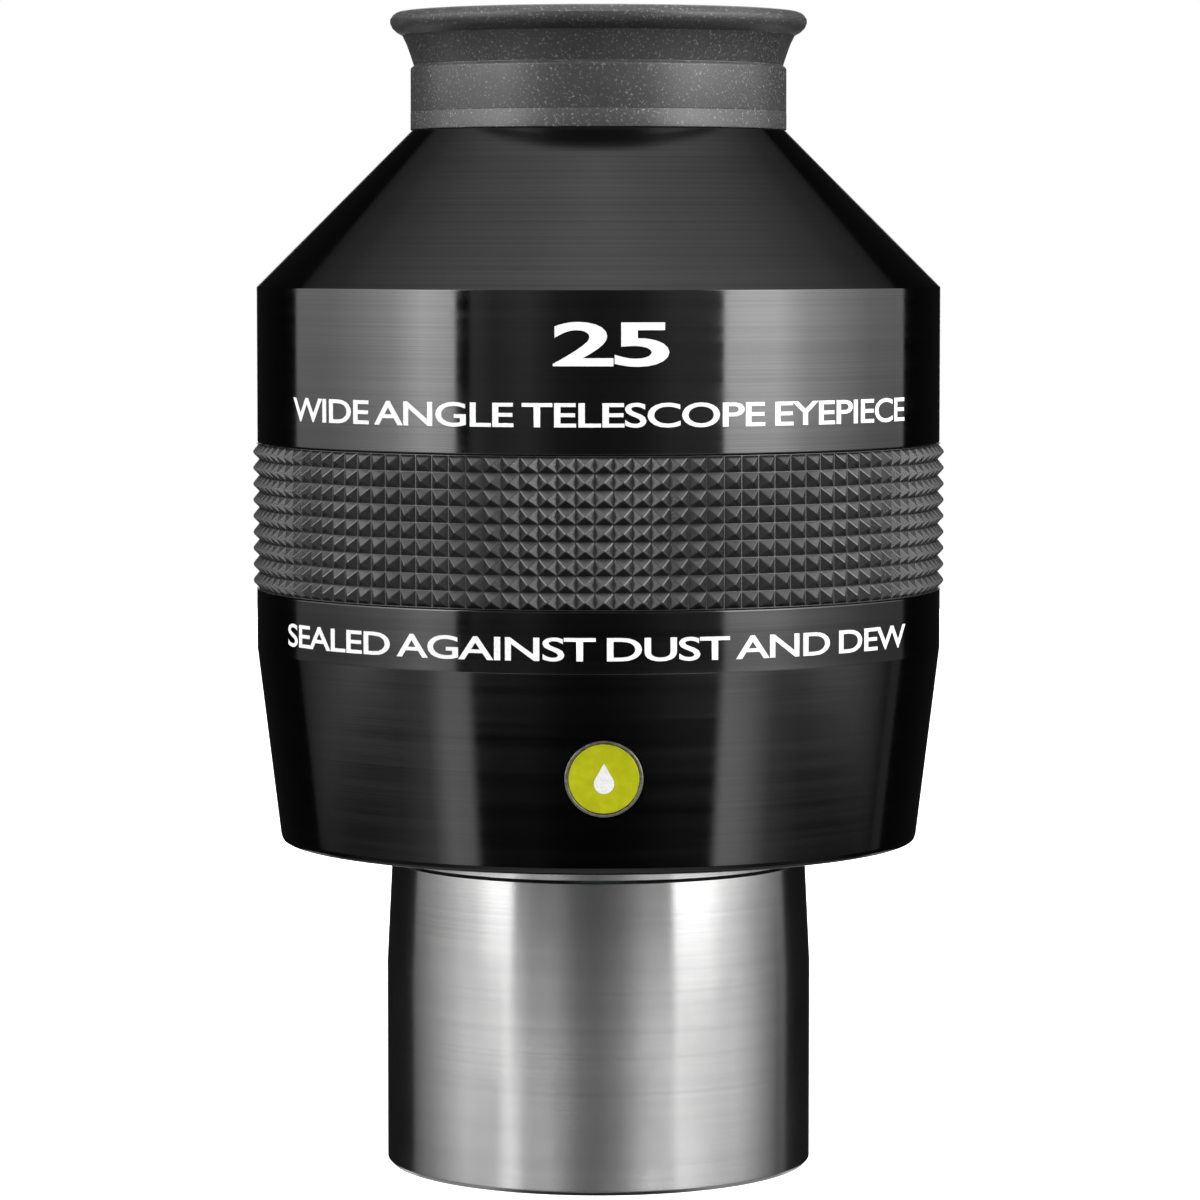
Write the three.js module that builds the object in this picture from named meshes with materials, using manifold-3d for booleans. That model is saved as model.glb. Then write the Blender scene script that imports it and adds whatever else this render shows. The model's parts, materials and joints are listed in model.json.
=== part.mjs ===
// A 2-inch wide-field telescope eyepiece, standing on the open end of its barrel.
// Millimetres, +Z up along the optical axis, origin at the centre of the barrel's end face, front towards -Y.
// Every piece is turned on the optical axis, apart from the purge port, which is turned on a radius.
import * as THREE from "three";
import { mergeVertices } from "three/addons/utils/BufferGeometryUtils.js";
import Module from "manifold-3d";

// ---------- driving dimensions ----------
const SHELL_FACETS = 48; // flats round the outer pieces
const INNER_FACETS = 24; // flats round the lenses and small rings
const LENS_STEPS = 4; // straight steps from the middle of a lens to its rim
const GAP = 0.3; // clearance between pieces that rest on each other

const BARREL_RADIUS = 25.4; // nominal 2-inch nose
const BARREL_TAPER_START = 24.1;
const BARREL_TAPER_END = 36.3;
const BARREL_TAPER_RADIUS = 24.8;
const BARREL_COLLAR_RADIUS = 24.45;
const BARREL_TOP = 45.6;
const BARREL_BORE = 23.0;
const FILTER_THREAD_BORE = 23.7; // 48 mm filter thread
const FILTER_THREAD_DEPTH = 6.5;

const BODY_BOTTOM = 39.0;
const BODY_BOTTOM_RADIUS = 38.0;
const BODY_TAPER_TOP = 62.0;
const BODY_RADIUS = 40.8;
const GRIP_BOTTOM = 68.8;
const GRIP_TOP = 86.7;
const SHOULDER = 104.9;
const CONE_TOP = 123.4;
const CONE_TOP_RADIUS = 22.3;
const GRIP_SEAT_RADIUS = 39.4;
const HOUSING_JOINT = 78.0; // where the two housings meet, under the grip
const LAP_RADIUS = 38.3; // male side of the lap that joins them
const LAP_TOP = 85.0;
const SEAL_GROOVE = 80.6;

const GRIP_ROWS = 9;
const GRIP_VALLEY_RADIUS = 40.75;
const GRIP_PEAK_RADIUS = 41.3;

const NECK_RADIUS = 20.85;
const NECK_TOP = 129.4;
const NECK_BORE = 19.4;
const EYE_SEAT = 121.0;
const EYE_SEAT_BORE = 17.4;

const EYECUP_RADIUS = 22.36;
const CREASE_WALL = 0.8; // thin, so that the rubber folds here
const FLARE_WALL = 1.2;
const CREASE = 131.0; // the fold line, where the band ends and the flare begins
const FLARE_TOP = 134.5;
const FLARE_TOP_RADIUS = 23.4;
const LIP_RADIUS = 23.72;
const LIP_HALF_WIDTH = 1.05;
const LIP_HALF_HEIGHT = 1.28;
const LIP_HEIGHT = 136.08;

const CELL_TOP = 112.6;
const CELL_FLANGE = LAP_TOP + GAP;
const CELL_FLANGE_TOP = 87.5;
const FIELD_CELL_BOTTOM = 13.0;
const FIELD_CELL_TOP = 30.8;
const FIELD_STOP_RADIUS = 21.5;

const PORT_HEIGHT = 50.0;
const PORT_AZIMUTH = 0.9; // degrees towards +X from the front
const PORT_BORE = 4.65;
const PORT_DEPTH = 2.3; // of the counterbore, square to the tapered wall
const PLUG_RADIUS = 4.45;
const PLUG_SUNK = 0.25; // how far the plug's rim lies below the wall
const LABEL_RADIUS = 4.0;
const VENT_BORE = 2.1;

// ---------- materials ----------
const look = (color, roughness, metalness) => () =>
  new THREE.MeshStandardMaterial({ color, roughness, metalness });
const blackAnodised = look(0x0c0c0d, 0.32, 0.6);
const innerBlack = look(0x060606, 0.85, 0.1);
const steel = look(0xb9b9b9, 0.25, 1.0);
const rubber = look(0x2a2a2b, 0.8, 0.0);
const sealRubber = look(0x141414, 0.6, 0.0);
const glass = look(0x9fb8ac, 0.05, 0.0);
const nickel = look(0xc8c4ba, 0.3, 1.0);
const label = look(0xa9b400, 0.45, 0.0);

// ---------- shapes ----------
// Turns a profile of [radius, height] points round +Z.
function turned(profile, facets) {
  const points = profile.map(([radius, height]) => new THREE.Vector2(radius, height));
  return new THREE.LatheGeometry(points, facets).rotateX(Math.PI / 2);
}

// A ring: a profile clear of the axis, closed on itself.
function ring(profile, facets = SHELL_FACETS) {
  return turned([...profile, profile[0]], facets);
}

// A flat ring of rectangular section.
function plainRing(inner, outer, bottom, top, facets = INNER_FACETS) {
  return ring(
    [
      [inner, bottom],
      [outer, bottom],
      [outer, top],
      [inner, top],
    ],
    facets,
  );
}

// A ring of oval section.
function ovalRing(radius, height, halfWidth, halfHeight, sides, facets) {
  const profile = [];
  for (let i = 0; i < sides; i++) {
    const turn = (2 * Math.PI * (i + 0.5)) / sides;
    profile.push([
      radius + halfWidth * Math.cos(turn),
      height + halfHeight * Math.sin(turn),
    ]);
  }
  return ring(profile, facets);
}

// Points along a lens surface from the axis out to its rim; a positive sag has the middle above the rim.
function lensSurface(rimRadius, rimHeight, sag) {
  if (sag === 0)
    return [
      [0, rimHeight],
      [rimRadius, rimHeight],
    ];
  const points = [];
  const curve = (rimRadius ** 2 + sag ** 2) / (2 * Math.abs(sag));
  for (let i = 0; i <= LENS_STEPS; i++) {
    const radius = (rimRadius * i) / LENS_STEPS;
    const drop = curve - Math.sqrt(curve ** 2 - radius ** 2);
    points.push([radius, rimHeight + sag - Math.sign(sag) * drop]);
  }
  return points;
}

// A lens from the height and sag of its lower surface and those of its upper surface.
function lens(radius, bottomRim, bottomSag, topRim, topSag) {
  const under = lensSurface(radius, bottomRim, bottomSag);
  const over = lensSurface(radius, topRim, topSag).reverse();
  return turned([...under, ...over], INNER_FACETS);
}

// ---------- booleans ----------
const wasm = await Module();
wasm.setup();

function toSolid(geometry) {
  const bare = geometry.clone();
  bare.deleteAttribute("normal");
  bare.deleteAttribute("uv");
  const merged = mergeVertices(bare, 1e-4);
  return new wasm.Manifold(
    new wasm.Mesh({
      numProp: 3,
      vertProperties: new Float32Array(merged.attributes.position.array),
      triVerts: new Uint32Array(merged.index.array),
    }),
  );
}

function toGeometry(solid) {
  const mesh = solid.getMesh();
  const geometry = new THREE.BufferGeometry();
  geometry.setAttribute("position", new THREE.BufferAttribute(mesh.vertProperties, 3));
  geometry.setIndex(new THREE.BufferAttribute(mesh.triVerts, 1));
  const flat = geometry.toNonIndexed();
  flat.computeVertexNormals();
  return flat;
}

// Moves a piece turned on +Z to the purge port: +Z then points squarely out of the tapered wall,
// and height 0 lies on the wall.
function atPort(geometry) {
  const slope = (BODY_RADIUS - BODY_BOTTOM_RADIUS) / (BODY_TAPER_TOP - BODY_BOTTOM);
  const wall = BODY_BOTTOM_RADIUS + slope * (PORT_HEIGHT - BODY_BOTTOM);
  return geometry
    .rotateX(Math.PI / 2 + Math.atan(slope))
    .translate(0, -wall, PORT_HEIGHT)
    .rotateZ(THREE.MathUtils.degToRad(PORT_AZIMUTH));
}

// A disc on the port's axis, between two heights above the wall.
function portDisc(radius, from, to) {
  const disc = new THREE.CylinderGeometry(radius, radius, to - from, INNER_FACETS);
  return atPort(disc.rotateX(Math.PI / 2).translate(0, 0, (from + to) / 2));
}

// ---------- outer pieces ----------
function barrel() {
  return ring([
    [24.2, 0],
    [BARREL_RADIUS - 0.4, 0],
    [BARREL_RADIUS, 0.4],
    [BARREL_RADIUS, BARREL_TAPER_START],
    [BARREL_TAPER_RADIUS, BARREL_TAPER_END],
    [BARREL_COLLAR_RADIUS, BARREL_TAPER_END + 0.35],
    [BARREL_COLLAR_RADIUS, BARREL_TOP],
    [BARREL_BORE, BARREL_TOP],
    [BARREL_BORE, FIELD_CELL_TOP + 2.2],
    [22.0, FIELD_CELL_TOP + 1.4],
    [22.0, FIELD_CELL_TOP + GAP],
    [BARREL_BORE, FIELD_CELL_TOP + GAP],
    [BARREL_BORE, FILTER_THREAD_DEPTH],
    [FILTER_THREAD_BORE, FILTER_THREAD_DEPTH],
    [FILTER_THREAD_BORE, 0.5],
  ]);
}

function lowerHousing() {
  const seat = BARREL_COLLAR_RADIUS + GAP;
  const seatChamfer = 1.3;
  const shell = toSolid(
    ring([
      [seat, BODY_BOTTOM + seatChamfer],
      [seat + seatChamfer, BODY_BOTTOM],
      [BODY_BOTTOM_RADIUS - 0.6, BODY_BOTTOM],
      [BODY_BOTTOM_RADIUS, BODY_BOTTOM + 0.6],
      [BODY_RADIUS, BODY_TAPER_TOP],
      [BODY_RADIUS, GRIP_BOTTOM],
      [GRIP_SEAT_RADIUS, GRIP_BOTTOM],
      [GRIP_SEAT_RADIUS, HOUSING_JOINT],
      [LAP_RADIUS, HOUSING_JOINT],
      [LAP_RADIUS, SEAL_GROOVE],
      [LAP_RADIUS - 1.1, SEAL_GROOVE],
      [LAP_RADIUS - 1.1, SEAL_GROOVE + 1.8],
      [LAP_RADIUS, SEAL_GROOVE + 1.8],
      [LAP_RADIUS, LAP_TOP],
      [36.4, LAP_TOP],
      [36.4, 60.0],
      [34.6, 46.8],
      [seat, 46.8],
    ]),
  );
  const counterbore = toSolid(portDisc(PORT_BORE, -PORT_DEPTH, 2));
  const vent = toSolid(portDisc(VENT_BORE, -PORT_DEPTH - 5, -PORT_DEPTH + 0.5));
  return toGeometry(shell.subtract(counterbore).subtract(vent));
}

function upperHousing() {
  return ring([
    [LAP_RADIUS + GAP, HOUSING_JOINT + GAP],
    [GRIP_SEAT_RADIUS, HOUSING_JOINT + GAP],
    [GRIP_SEAT_RADIUS, GRIP_TOP],
    [BODY_RADIUS - 0.1, GRIP_TOP],
    [BODY_RADIUS - 0.1, SHOULDER],
    [CONE_TOP_RADIUS, CONE_TOP],
    [NECK_RADIUS, CONE_TOP],
    [NECK_RADIUS, NECK_TOP],
    [NECK_BORE, NECK_TOP],
    [NECK_BORE, EYE_SEAT],
    [EYE_SEAT_BORE, EYE_SEAT],
    [EYE_SEAT_BORE, 118.4],
    [23.0, 118.4],
    [37.2, 104.2],
    [37.2, CELL_FLANGE_TOP + GAP],
    [LAP_RADIUS + GAP, CELL_FLANGE_TOP + GAP],
  ]);
}

// The rubber grip: a sleeve with one raised ridge for each row of studs.
function gripRing() {
  const bottom = GRIP_BOTTOM + GAP;
  const pitch = (GRIP_TOP - GAP - bottom) / GRIP_ROWS;
  const profile = [[GRIP_SEAT_RADIUS + GAP, bottom]];
  for (let row = 0; row < GRIP_ROWS; row++) {
    profile.push([GRIP_VALLEY_RADIUS, bottom + row * pitch]);
    profile.push([GRIP_PEAK_RADIUS, bottom + (row + 0.5) * pitch]);
  }
  profile.push([GRIP_VALLEY_RADIUS, bottom + GRIP_ROWS * pitch]);
  profile.push([GRIP_SEAT_RADIUS + GAP, bottom + GRIP_ROWS * pitch]);
  return ring(profile);
}

// ---------- eyecup: band, folding flare and rolled lip ----------
function eyecupBand() {
  const inner = NECK_RADIUS + GAP;
  return ring([
    [inner, CONE_TOP + GAP],
    [EYECUP_RADIUS, CONE_TOP + GAP],
    [EYECUP_RADIUS, CREASE - 0.35],
    [EYECUP_RADIUS - 0.35, CREASE],
    [inner, CREASE],
  ]);
}

function eyecupFlare() {
  const foot = CREASE + GAP;
  const footRadius = EYECUP_RADIUS - 0.3;
  return ring([
    [footRadius - CREASE_WALL, foot],
    [footRadius, foot],
    [FLARE_TOP_RADIUS, FLARE_TOP],
    [FLARE_TOP_RADIUS - FLARE_WALL, FLARE_TOP],
  ]);
}

// The rolled lip passes down outside the band when the eyecup is folded.
function eyecupLip() {
  return ovalRing(LIP_RADIUS, LIP_HEIGHT, LIP_HALF_WIDTH, LIP_HALF_HEIGHT, 8, SHELL_FACETS);
}

// ---------- optics and their mountings ----------
// Holds the singlet and the doublet, and is clamped by its flange between the two housings.
function mainCell() {
  const profile = [
    [31.4, 77.4],
    [36.0, 77.4],
    [36.0, CELL_FLANGE],
    [LAP_RADIUS - GAP, CELL_FLANGE],
    [LAP_RADIUS - GAP, CELL_FLANGE_TOP],
    [36.8, CELL_FLANGE_TOP],
    [36.8, 103.4],
    [27.7, CELL_TOP],
    [26.4, CELL_TOP],
    [26.4, 94.4],
    [25.0, 94.4],
    [25.0, 92.9],
    [30.2, 92.9],
    [30.2, 85.2],
    [31.4, 85.2],
  ];
  return ring(profile, INNER_FACETS);
}

function fieldCell() {
  return ring(
    [
      [20.7, FIELD_CELL_BOTTOM],
      [22.6, FIELD_CELL_BOTTOM],
      [22.6, FIELD_CELL_TOP],
      [19.2, FIELD_CELL_TOP],
      [19.2, 29.4],
      [20.7, 29.4],
    ],
    INNER_FACETS,
  );
}

// A screw-in ring with a pair of slots across its face for a spanner.
function eyeLensRetainer() {
  const top = NECK_TOP + 0.2;
  const slotWidth = 1.6;
  const slotDepth = 0.8;
  const body = toSolid(
    ring([
      [17.3, top - 1.7],
      [NECK_BORE - 0.2, top - 1.7],
      [NECK_BORE - 0.2, top],
      [18.2, top],
    ]),
  );
  const slots = new THREE.BoxGeometry(2 * NECK_BORE + 2, slotWidth, 2 * slotDepth).translate(0, 0, top);
  return toGeometry(body.subtract(toSolid(slots)));
}

// The purge plug: a screw with a shallow dish in its head for the label.
function purgePlug() {
  const rim = -PLUG_SUNK;
  const dishFloor = rim - 0.5;
  const headBack = rim - 1.3;
  const shankEnd = -5.0;
  return atPort(
    turned(
      [
        [0, shankEnd],
        [VENT_BORE - GAP, shankEnd],
        [VENT_BORE - GAP, headBack],
        [PLUG_RADIUS, headBack],
        [PLUG_RADIUS, rim - 0.12],
        [PLUG_RADIUS - 0.12, rim],
        [LABEL_RADIUS + 0.12, rim],
        [LABEL_RADIUS + 0.12, dishFloor],
        [0, dishFloor],
      ],
      INNER_FACETS,
    ),
  );
}

function purgeLabel() {
  return portDisc(LABEL_RADIUS, -PLUG_SUNK - 0.22, -PLUG_SUNK - 0.04);
}

function purgeSeal() {
  return atPort(ovalRing(3.2, -PORT_DEPTH + 0.37, 0.55, 0.27, 6, INNER_FACETS));
}

// ---------- assembly ----------
// Name, geometry and material of each piece, from the eye down.
const pieces = [
  ["eyecup_lip", eyecupLip(), rubber],
  ["eyecup_flare", eyecupFlare(), rubber],
  ["eyecup_band", eyecupBand(), rubber],
  ["eye_lens_retainer", eyeLensRetainer(), innerBlack],
  ["eye_lens_seal", ovalRing(18.3, 127.15, 0.6, 0.55, 6, INNER_FACETS), sealRubber],
  ["eye_lens", lens(19.0, 121.6, -1.7, 126.2, 0.9), glass],
  ["upper_housing", upperHousing(), blackAnodised],
  ["grip_ring", gripRing(), rubber],
  ["main_cell", mainCell(), innerBlack],
  ["doublet_retainer", plainRing(24.0, 26.0, 107.6, 109.6), innerBlack],
  ["doublet_crown_lens", lens(26.0, 103.3, -5.4, 106.3, 5.7), glass],
  ["doublet_flint_lens", lens(26.0, 94.8, 0, 103.0, -5.4), glass],
  ["singlet_lens", lens(31.0, 80.0, 0, 84.5, 7.0), glass],
  ["singlet_retainer", plainRing(28.6, 31.0, 77.6, 79.6), innerBlack],
  ["housing_seal", ovalRing(LAP_RADIUS - 0.4, SEAL_GROOVE + 0.9, 0.42, 0.6, 6, SHELL_FACETS), sealRubber],
  ["lower_housing", lowerHousing(), blackAnodised],
  ["purge_plug", purgePlug(), nickel],
  ["purge_label", purgeLabel(), label],
  ["purge_seal", purgeSeal(), sealRubber],
  ["field_stop", plainRing(FIELD_STOP_RADIUS, BARREL_BORE - GAP, 41.0, 42.0), innerBlack],
  ["barrel", barrel(), steel],
  ["field_cell", fieldCell(), innerBlack],
  ["field_lens_upper", lens(20.3, 23.8, -2.0, 27.6, 1.3), glass],
  ["field_lens_lower", lens(20.3, 16.0, 3.0, 23.5, -2.0), glass],
  ["field_lens_seal", ovalRing(20.0, 28.5, 0.5, 0.45, 6, INNER_FACETS), sealRubber],
  ["field_lens_retainer", plainRing(18.6, 20.4, 13.4, 15.6), innerBlack],
];

const eyepiece = new THREE.Group();
for (const [name, geometry, material] of pieces) {
  const mesh = new THREE.Mesh(geometry, material());
  mesh.name = name;
  eyepiece.add(mesh);
}

export default eyepiece;
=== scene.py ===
"""A 2-inch wide-field telescope eyepiece on its barrel: the looks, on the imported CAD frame.

Metres, +Z up along the optical axis, front towards -Y. Angles round the axis are measured from the
front, positive towards +X.
"""

import json
import math
import random

import bmesh
import bpy
from mathutils import Matrix, Vector


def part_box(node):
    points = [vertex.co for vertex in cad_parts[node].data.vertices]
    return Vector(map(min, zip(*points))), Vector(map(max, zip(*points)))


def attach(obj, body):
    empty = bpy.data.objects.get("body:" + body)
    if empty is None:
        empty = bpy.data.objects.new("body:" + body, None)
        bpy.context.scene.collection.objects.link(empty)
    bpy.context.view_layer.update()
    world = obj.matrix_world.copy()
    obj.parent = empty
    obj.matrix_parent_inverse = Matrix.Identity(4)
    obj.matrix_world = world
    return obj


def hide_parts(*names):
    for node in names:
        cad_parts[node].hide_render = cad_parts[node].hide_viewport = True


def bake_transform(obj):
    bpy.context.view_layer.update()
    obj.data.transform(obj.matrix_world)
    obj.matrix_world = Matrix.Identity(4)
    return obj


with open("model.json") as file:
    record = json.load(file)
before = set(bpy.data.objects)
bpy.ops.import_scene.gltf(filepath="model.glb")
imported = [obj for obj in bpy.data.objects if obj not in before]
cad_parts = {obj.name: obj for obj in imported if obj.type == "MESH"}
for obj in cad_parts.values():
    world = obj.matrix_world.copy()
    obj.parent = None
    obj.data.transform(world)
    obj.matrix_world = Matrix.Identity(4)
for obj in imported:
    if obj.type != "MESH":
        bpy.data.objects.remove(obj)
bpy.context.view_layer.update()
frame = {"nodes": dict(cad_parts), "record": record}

MM = 0.001
BODY = "eyepiece"
SECTORS = 320  # round the large turned pieces
SMALL_SECTORS = 128
SUPPORT = 0.12 * MM  # distance of the loops that hold a face flat beside a rounded corner
SHARP_ANGLE = 35  # degrees between two faces, from which their edge is drawn sharp
PINHOLE = 0.02 * MM  # radius left open on the axis of a lens or disc, where faces would collapse

# ---------- sizes that the boxes of the CAD nodes don't give ----------
BARREL_BORE = 23.0 * MM
BARREL_TAPER = (24.1 * MM, 36.3 * MM)
BARREL_TAPER_RADIUS = 24.8 * MM
BARREL_COLLAR_RADIUS = 24.45 * MM
BARREL_MOUTH_RADIUS = 24.2 * MM
BARREL_SHELF_RADIUS = 22.0 * MM
BARREL_BEVEL = 0.45 * MM
FILTER_THREAD_RADIUS = 23.7 * MM
FILTER_THREAD_DEPTH = 6.5 * MM
FILTER_THREAD_PITCH = 0.75 * MM

LOWER_FLOOR = 46.8 * MM
LOWER_FLOOR_RADIUS = 34.6 * MM
LOWER_BORE_FOOT = 60.0 * MM
LOWER_BORE_RADIUS = 36.4 * MM
LOWER_SPIGOT_RADIUS = 38.3 * MM  # the end that goes up into the upper housing

UPPER_SOCKET_RADIUS = 38.6 * MM
UPPER_SOCKET_END = 87.8 * MM
UPPER_BORE_RADIUS = 37.2 * MM
UPPER_BORE_TOP = 104.2 * MM
EYE_SEAT = (118.4 * MM, 121.0 * MM)
EYE_SEAT_RADIUS = 17.4 * MM
EYE_SEAT_BACK_RADIUS = 23.0 * MM

BODY_BOTTOM_RADIUS = 38.0 * MM
BODY_TAPER_TOP = 62.0 * MM
BODY_RADIUS = 40.8 * MM
GRIP_SEAT_RADIUS = 39.4 * MM
HOUSING_JOINT = 78.0 * MM
SHOULDER = 104.9 * MM
CONE_TOP = 123.4 * MM
CONE_TOP_RADIUS = 22.3 * MM
NECK_RADIUS = 20.85 * MM
NECK_BORE = 19.4 * MM

GRIP_GAP = 0.08 * MM  # between the ring's ends and the body
GRIP_BORE = 39.7 * MM
GRIP_RIM = 0.05 * MM  # height of the smooth rim at each end
STUD_COLUMNS = 120
STUD_ROWS = 9
STUD_BASE = 40.5 * MM
STUD_HEIGHT = 0.77 * MM
STUD_DROOP = 0.1 * MM  # how far a stud's point sits below its middle
STUD_LAND = 0.05 * MM  # half the flat strip between neighbouring studs
STUD_BLUNTING = 0.07 * MM
STUD_LEAN = 0.02 * MM  # how far a point may stray sideways
STUD_PHASE = 0.3  # where the first column stands, in columns
STUD_SHARP_ANGLE = 8

EYECUP_BORE = 21.15 * MM
MOULD_LINE = 125.5 * MM
CREASE = 131.0 * MM

PORT_BORE = 4.65 * MM
PORT_DEPTH = 2.3 * MM
PLUG_SUNK = 0.25 * MM
PORT_HEIGHT = 50.0 * MM
PORT_RINGS = 12  # rings of the wall, 1 mm apart, that keep its surface even round the port
PLUG_RADIUS = 4.45 * MM
PLUG_DISH_RADIUS = 4.12 * MM
PLUG_STEM_RADIUS = 1.8 * MM
LABEL_RADIUS = 4.0 * MM
LABEL_SUNK = PLUG_SUNK + 0.04 * MM

NUMERAL_HEIGHT = (96.38 * MM, 101.38 * MM)
UPPER_LINE_HEIGHT = (89.59 * MM, 92.37 * MM)
LOWER_LINE_HEIGHT = (63.43 * MM, 66.12 * MM)
PRINT_THICKNESS = 0.012 * MM

# ---------- the photo's camera ----------
CAMERA_DISTANCE = 0.60347
CAMERA_HEIGHT = 0.1112
CAMERA_DOWN = 4.152  # degrees below level
CAMERA_YAW = -0.017
LENS = 151.48  # mm, for a sensor of SENSOR mm
SENSOR = 36.0


# ---------- shader building ----------
class Shader:
    """A material whose Principled surface is fed a node at a time."""

    def __init__(self, name, **values):
        self.material = bpy.data.materials.new(name)
        self.material.use_nodes = True
        self.tree = self.material.node_tree
        self.surface = self.tree.nodes["Principled BSDF"]
        for socket, value in values.items():
            self.surface.inputs[socket.replace("_", " ")].default_value = value

    def node(self, kind, inputs=None, **settings):
        made = self.tree.nodes.new("ShaderNode" + kind)
        for key, value in settings.items():
            setattr(made, key, value)
        for key, value in (inputs or {}).items():
            self.feed(made.inputs[key], value)
        return made

    def feed(self, socket, value):
        if isinstance(value, bpy.types.NodeSocket):
            self.tree.links.new(value, socket)
        else:
            socket.default_value = value

    def set(self, name, value):
        self.feed(self.surface.inputs[name], value)

    def position(self):
        return self.node("TexCoord").outputs["Object"]

    def maths(self, operation, a, b=0.0):
        return self.node("Math", {0: a, 1: b}, operation=operation).outputs[0]

    def mean(self, a, b, share):
        """The weighted mean of a and b, where share is the weight of a."""
        first = self.maths("MULTIPLY", a, share)
        second = self.maths("MULTIPLY", b, 1 - share)
        return self.maths("ADD", first, second)

    def stretched(self, scale):
        """The object's coordinates, multiplied by scale along x, y and z."""
        mapping = self.node("Mapping", {"Vector": self.position(), "Scale": scale})
        return mapping.outputs["Vector"]

    def round_the_axis(self, along, across):
        """Coordinates for marks that run round the axis on walls, cones and end faces alike.

        The marks change slowly along their length and quickly from one to the next.
        """
        split = self.node("SeparateXYZ", {0: self.position()})
        flat = self.node("CombineXYZ", {"X": split.outputs["X"], "Y": split.outputs["Y"]})
        radius = self.node("VectorMath", {0: flat.outputs[0]}, operation="LENGTH").outputs["Value"]
        step = self.maths("MULTIPLY_ADD", radius, 0.6)
        self.feed(step.node.inputs[2], split.outputs["Z"])
        return self.node(
            "CombineXYZ",
            {
                "X": self.maths("MULTIPLY", split.outputs["X"], along),
                "Y": self.maths("MULTIPLY", split.outputs["Y"], along),
                "Z": self.maths("MULTIPLY", step, across),
            },
        ).outputs[0]

    def noise(self, vector, scale=1.0, detail=2.0, roughness=0.5):
        inputs = {"Vector": vector, "Scale": scale, "Detail": detail, "Roughness": roughness}
        return self.node("TexNoise", inputs).outputs[0]

    def between(self, value, low, high, start=0.3, end=0.7):
        """value, whose useful range is start to end, turned into a number from low to high."""
        inputs = {"Value": value, "From Min": start, "From Max": end, "To Min": low, "To Max": high}
        return self.node("MapRange", inputs).outputs[0]

    def mix(self, share, first, second):
        mixed = self.node("Mix", {0: share}, data_type="RGBA")
        self.feed(mixed.inputs[6], first)
        self.feed(mixed.inputs[7], second)
        return mixed.outputs[2]

    def tint(self, value, first, second, start=0.3, end=0.7):
        """The colour that goes from first to second as value goes from start to end."""
        share = self.between(value, 0.0, 1.0, start, end)
        return self.mix(share, (*first, 1.0), (*second, 1.0))

    def bump(self, height, depth, strength):
        inputs = {"Height": height, "Distance": depth, "Strength": strength}
        return self.node("Bump", inputs).outputs["Normal"]

    def turned_grain(self, amount):
        """Microscopic grooves round the axis, which draw highlights out along it."""
        tangent = self.node("Tangent", direction_type="RADIAL", axis="Z")
        self.set("Tangent", tangent.outputs[0])
        self.surface.inputs["Anisotropic"].default_value = amount
        self.surface.inputs["Anisotropic Rotation"].default_value = 0.25


def grey(value):
    return (value, value, value)


# ---------- materials ----------
def black_anodised():
    look = Shader("black_anodised", Metallic=1.0)
    fine = look.noise(look.round_the_axis(6.0, 9000.0), detail=3.0)
    broad = look.noise(look.round_the_axis(14.0, 700.0))
    lines = look.mean(fine, broad, 0.65)
    look.set("Base Color", look.tint(lines, grey(0.062), grey(0.092)))
    look.set("Roughness", look.between(broad, 0.09, 0.13))
    look.set("Normal", look.bump(fine, 0.002 * MM, 0.5))
    look.turned_grain(0.35)
    return look.material


def inner_black():
    look = Shader("inner_black", Metallic=0.0)
    speckle = look.noise(look.position(), scale=2500.0, detail=3.0)
    ridges = look.noise(look.round_the_axis(3.0, 4000.0), detail=1.0)
    look.set("Base Color", look.tint(speckle, grey(0.008), grey(0.02)))
    look.set("Roughness", look.between(speckle, 0.6, 0.85))
    look.set("Normal", look.bump(ridges, 0.03 * MM, 0.5))
    return look.material


def barrel_steel():
    look = Shader("barrel_steel", Metallic=1.0)
    fine = look.noise(look.round_the_axis(25.0, 14000.0), detail=4.0, roughness=0.65)
    broad = look.noise(look.round_the_axis(10.0, 900.0))
    streaks = look.mean(fine, broad, 0.7)
    handling = look.noise(look.stretched((1, 1, 0.6)), scale=120.0, detail=3.0)
    look.set("Base Color", look.tint(streaks, (0.5, 0.5, 0.505), (0.6, 0.595, 0.59)))
    look.set("Roughness", look.between(handling, 0.17, 0.22))
    look.set("Normal", look.bump(fine, 0.003 * MM, 0.6))
    look.turned_grain(0.75)
    return look.material


def plug_metal():
    look = Shader("plug_metal", Metallic=1.0)
    worn = look.noise(look.position(), scale=1500.0, detail=4.0, roughness=0.7)
    look.set("Base Color", look.tint(worn, (0.16, 0.15, 0.12), (0.75, 0.73, 0.66)))
    look.set("Roughness", look.between(worn, 0.5, 0.25))
    look.set("Normal", look.bump(worn, 0.03 * MM, 0.6))
    return look.material


def label_plastic():
    look = Shader("label_plastic")
    mottle = look.noise(look.position(), scale=900.0, detail=3.0)
    look.set("Base Color", look.tint(mottle, (0.35, 0.365, 0.0), (0.43, 0.45, 0.002)))
    look.set("Roughness", look.between(mottle, 0.35, 0.5))
    look.set("Normal", look.bump(mottle, 0.01 * MM, 0.5))
    return look.material


def white_print():
    look = Shader("white_print")
    wear = look.noise(look.position(), scale=4000.0, detail=3.0)
    look.set("Base Color", look.tint(wear, grey(0.66), grey(0.84)))
    look.set("Roughness", look.between(wear, 0.45, 0.6))
    return look.material


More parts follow.
